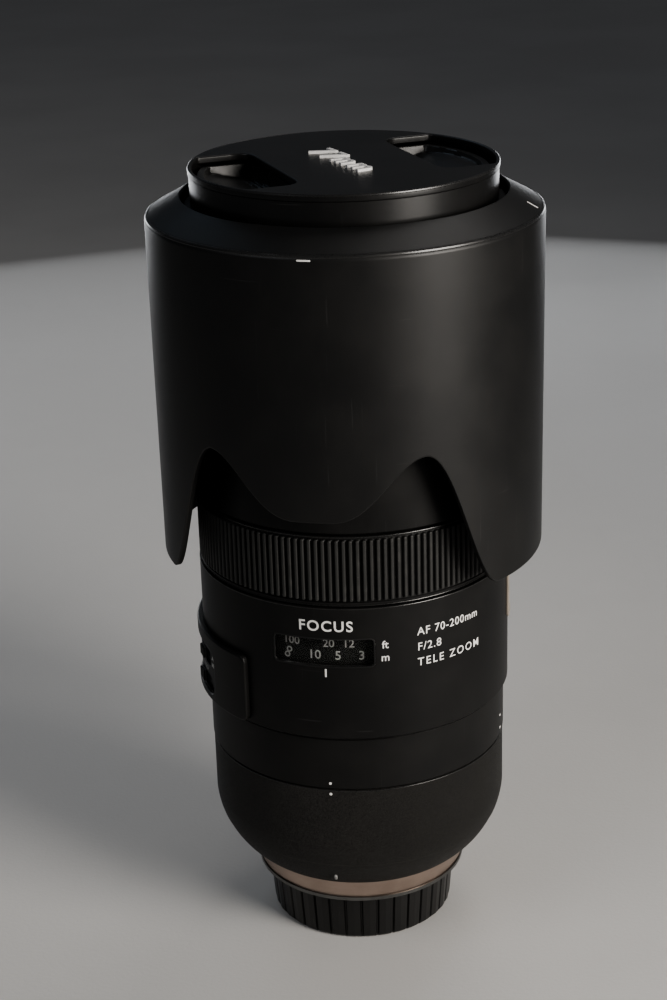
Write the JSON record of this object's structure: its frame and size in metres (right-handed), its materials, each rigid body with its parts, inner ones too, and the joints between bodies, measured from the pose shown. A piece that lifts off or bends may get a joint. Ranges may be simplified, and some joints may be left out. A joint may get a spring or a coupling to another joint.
{
  "type": "telephoto zoom lens",
  "caption": "Black telephoto zoom lens standing on its rear cap, with pinch front cap, reversed petal hood, zoom and focus rings, distance window, switches and tripod collar.",
  "frame": {"origin": "centre of the rear cap's flat outer face, on the optical axis", "axes": "+Z along the optical axis towards the front cap, -Y the side of the distance window, +X to the right when the window is looked at"},
  "size_m": [0.103, 0.1251, 0.2159],
  "materials": {
    "textured_barrel": "cast alloy with fine powder-textured black paint",
    "black_barrel": "cast alloy with smooth semi-matte black paint",
    "grip_rubber": "ribbed matte rubber",
    "hood_plastic": "matte moulded black",
    "cap_plastic": "satin moulded black",
    "black_plastic": "satin moulded black",
    "switch_plastic": "matte black with grooves",
    "pale_gold": "fine satin anodised pale gold",
    "badge_metal": "satin anodised",
    "mount_steel": "turned bright metal",
    "screw_steel": "satin steel",
    "inner_metal": "black anodised",
    "motor_brass": "satin",
    "blade_black": "matte black",
    "scale_print": "matte black with white figures",
    "board": "solder-mask green",
    "window_glass": "clear",
    "lens_glass": "coated optical glass"
  },
  "bodies": {
    "barrel": {"rear_barrel": "textured_barrel", "window_barrel": "black_barrel", "distance_window": "window_glass", "switch_panel": "black_barrel", "side_badge": "badge_metal", "trim_ring": "pale_gold", "bayonet_mount": "mount_steel", "mount_screws": "mount_steel", "contact_block": "black_plastic", "rear_group_cell": "inner_metal", "rear_group_lenses": "lens_glass", "main_circuit_board": "board", "guide_tube": "inner_metal", "focus_motor_stator": "motor_brass", "stabiliser_base": "inner_metal", "iris_base_plate": "inner_metal", "front_barrel": "black_barrel", "front_group_cell": "inner_metal", "front_group_lenses": "lens_glass", "front_retaining_ring": "black_plastic"},
    "zoom": {"zoom_ring": "black_barrel", "zoom_grip": "grip_rubber", "zoom_cam_tube": "inner_metal"},
    "focus": {"focus_ring": "black_barrel", "focus_grip": "grip_rubber"},
    "focus_drive": {"distance_scale_drum": "scale_print", "focus_motor_rotor": "motor_brass"},
    "focus_group": {"focus_cell": "inner_metal", "focus_lenses": "lens_glass"},
    "variator": {"variator_cell": "inner_metal", "variator_lenses": "lens_glass"},
    "compensator": {"compensator_cell": "inner_metal", "compensator_lenses": "lens_glass"},
    "stabiliser_slide": {"stabiliser_frame": "inner_metal"},
    "stabiliser_lens": {"stabiliser_cell": "inner_metal", "stabiliser_lenses": "lens_glass"},
    "iris_drive": {"iris_drive_ring": "inner_metal"},
    "focus_mode_slider": {"focus_mode_switch": "switch_plastic"},
    "focus_limit_slider": {"focus_limit_switch": "switch_plastic"},
    "stabiliser_slider": {"stabiliser_switch": "switch_plastic"},
    "stabiliser_mode_slider": {"stabiliser_mode_switch": "switch_plastic"},
    "collar": {"tripod_collar": "black_barrel", "tripod_foot": "black_barrel", "foot_screws": "screw_steel"},
    "collar_lock": {"collar_lock_knob": "black_plastic"},
    "mount_cap": {"rear_cap": "cap_plastic"},
    "hood": {"hood_shell": "hood_plastic"},
    "front_cap": {"front_cap_body": "cap_plastic", "cap_springs": "screw_steel"},
    "left_tab": {"pinch_tab_left": "cap_plastic"},
    "right_tab": {"pinch_tab_right": "cap_plastic"},
    "blade_1": {"iris_blade_1": "blade_black"},
    "blade_2": {"iris_blade_2": "blade_black"},
    "blade_3": {"iris_blade_3": "blade_black"},
    "blade_4": {"iris_blade_4": "blade_black"},
    "blade_5": {"iris_blade_5": "blade_black"},
    "blade_6": {"iris_blade_6": "blade_black"},
    "blade_7": {"iris_blade_7": "blade_black"},
    "blade_8": {"iris_blade_8": "blade_black"},
    "blade_9": {"iris_blade_9": "blade_black"}
  },
  "joints": [
    {"name": "zoom_turn", "type": "hinge", "parent": "barrel", "child": "zoom", "pos_m": [0, 0, 0.16], "axis": [0, 0, 1], "range_deg": [0, 72]},
    {"name": "variator_slide", "type": "slide", "parent": "barrel", "child": "variator", "axis": [0, 0, 1], "range_m": [-0.034, 0]},
    {"name": "compensator_slide", "type": "slide", "parent": "barrel", "child": "compensator", "axis": [0, 0, 1], "range_m": [-0.006, 0]},
    {"name": "focus_ring_turn", "type": "hinge", "parent": "barrel", "child": "focus", "pos_m": [0, 0, 0.12], "axis": [0, 0, 1], "range_deg": [-118.6, 35.4]},
    {"name": "scale_turn", "type": "hinge", "parent": "barrel", "child": "focus_drive", "pos_m": [0, 0, 0.095], "axis": [0, 0, 1], "range_deg": [-59.4, 17.8]},
    {"name": "focus_slide", "type": "slide", "parent": "barrel", "child": "focus_group", "axis": [0, 0, 1], "range_m": [-0.0063, 0.0019]},
    {"name": "stabiliser_shift_x", "type": "slide", "parent": "barrel", "child": "stabiliser_slide", "axis": [1, 0, 0], "range_m": [-0.001, 0.001]},
    {"name": "stabiliser_shift_y", "type": "slide", "parent": "stabiliser_slide", "child": "stabiliser_lens", "axis": [0, 1, 0], "range_m": [-0.001, 0.001]},
    {"name": "iris_turn", "type": "hinge", "parent": "barrel", "child": "iris_drive", "pos_m": [0, 0, 0.089], "axis": [0, 0, 1], "range_deg": [0, 16]},
    {"name": "blade_1_turn", "type": "hinge", "parent": "barrel", "child": "blade_1", "pos_m": [0, -0.0292, 0.086], "axis": [0, 0, 1], "range_deg": [0, 32]},
    {"name": "blade_2_turn", "type": "hinge", "parent": "barrel", "child": "blade_2", "pos_m": [0.01877, -0.02237, 0.086], "axis": [0, 0, 1], "range_deg": [0, 32]},
    {"name": "blade_3_turn", "type": "hinge", "parent": "barrel", "child": "blade_3", "pos_m": [0.02876, -0.00507, 0.086], "axis": [0, 0, 1], "range_deg": [0, 32]},
    {"name": "blade_4_turn", "type": "hinge", "parent": "barrel", "child": "blade_4", "pos_m": [0.02529, 0.0146, 0.086], "axis": [0, 0, 1], "range_deg": [0, 32]},
    {"name": "blade_5_turn", "type": "hinge", "parent": "barrel", "child": "blade_5", "pos_m": [0.00999, 0.02744, 0.086], "axis": [0, 0, 1], "range_deg": [0, 32]},
    {"name": "blade_6_turn", "type": "hinge", "parent": "barrel", "child": "blade_6", "pos_m": [-0.00999, 0.02744, 0.086], "axis": [0, 0, 1], "range_deg": [0, 32]},
    {"name": "blade_7_turn", "type": "hinge", "parent": "barrel", "child": "blade_7", "pos_m": [-0.02529, 0.0146, 0.086], "axis": [0, 0, 1], "range_deg": [0, 32]},
    {"name": "blade_8_turn", "type": "hinge", "parent": "barrel", "child": "blade_8", "pos_m": [-0.02876, -0.00507, 0.086], "axis": [0, 0, 1], "range_deg": [0, 32]},
    {"name": "blade_9_turn", "type": "hinge", "parent": "barrel", "child": "blade_9", "pos_m": [-0.01877, -0.02237, 0.086], "axis": [0, 0, 1], "range_deg": [0, 32]},
    {"name": "focus_mode_slide", "type": "slide", "parent": "barrel", "child": "focus_mode_slider", "axis": [0.4695, -0.8829, 0], "range_m": [0, 0.0035]},
    {"name": "focus_limit_slide", "type": "slide", "parent": "barrel", "child": "focus_limit_slider", "axis": [0, -1, 0], "range_m": [0, 0.0035]},
    {"name": "stabiliser_switch_slide", "type": "slide", "parent": "barrel", "child": "stabiliser_slider", "axis": [0, -1, 0], "range_m": [0, 0.0035]},
    {"name": "stabiliser_mode_slide", "type": "slide", "parent": "barrel", "child": "stabiliser_mode_slider", "axis": [0.4695, -0.8829, 0], "range_m": [0, 0.0061]},
    {"name": "collar_turn", "type": "hinge", "parent": "barrel", "child": "collar", "pos_m": [0, 0, 0.064], "axis": [0, 0, 1], "continuous": true},
    {"name": "collar_lock_turn", "type": "hinge", "parent": "collar", "child": "collar_lock", "pos_m": [0, 0, 0.064], "axis": [0.5592, 0.829, 0], "range_deg": [0, 270]},
    {"name": "rear_cap_twist", "type": "hinge", "parent": "barrel", "child": "mount_cap", "pos_m": [0, 0, 0], "axis": [0, 0, 1], "range_deg": [0, 60]},
    {"name": "hood_twist", "type": "hinge", "parent": "barrel", "child": "hood", "pos_m": [0, 0, 0.2], "axis": [0, 0, 1], "range_deg": [0, 55]},
    {"name": "front_cap_lift", "type": "slide", "parent": "barrel", "child": "front_cap", "axis": [0, 0, 1], "range_m": [0, 0.014]},
    {"name": "left_tab_pinch", "type": "slide", "parent": "front_cap", "child": "left_tab", "axis": [0.8572, 0.515, 0], "range_m": [0, 0.0025], "stiffness_N_per_m": 300, "springref_m": -0.004},
    {"name": "right_tab_pinch", "type": "slide", "parent": "front_cap", "child": "right_tab", "axis": [-0.8572, -0.515, 0], "range_m": [0, 0.0025], "stiffness_N_per_m": 300, "springref_m": -0.004, "deforming": ["cap_springs"]}
  ],
  "couplings": [
    {"joint": "variator_slide", "follows": "zoom_turn", "m_per_rad": -0.027048},
    {"joint": "compensator_slide", "follows": "zoom_turn", "m_per_rad": -0.0047731},
    {"joint": "scale_turn", "follows": "focus_ring_turn", "ratio": 0.5},
    {"joint": "focus_slide", "follows": "focus_ring_turn", "m_per_rad": 0.003},
    {"joint": "blade_1_turn", "follows": "iris_turn", "ratio": 2},
    {"joint": "blade_2_turn", "follows": "iris_turn", "ratio": 2},
    {"joint": "blade_3_turn", "follows": "iris_turn", "ratio": 2},
    {"joint": "blade_4_turn", "follows": "iris_turn", "ratio": 2},
    {"joint": "blade_5_turn", "follows": "iris_turn", "ratio": 2},
    {"joint": "blade_6_turn", "follows": "iris_turn", "ratio": 2},
    {"joint": "blade_7_turn", "follows": "iris_turn", "ratio": 2},
    {"joint": "blade_8_turn", "follows": "iris_turn", "ratio": 2},
    {"joint": "blade_9_turn", "follows": "iris_turn", "ratio": 2}
  ]
}
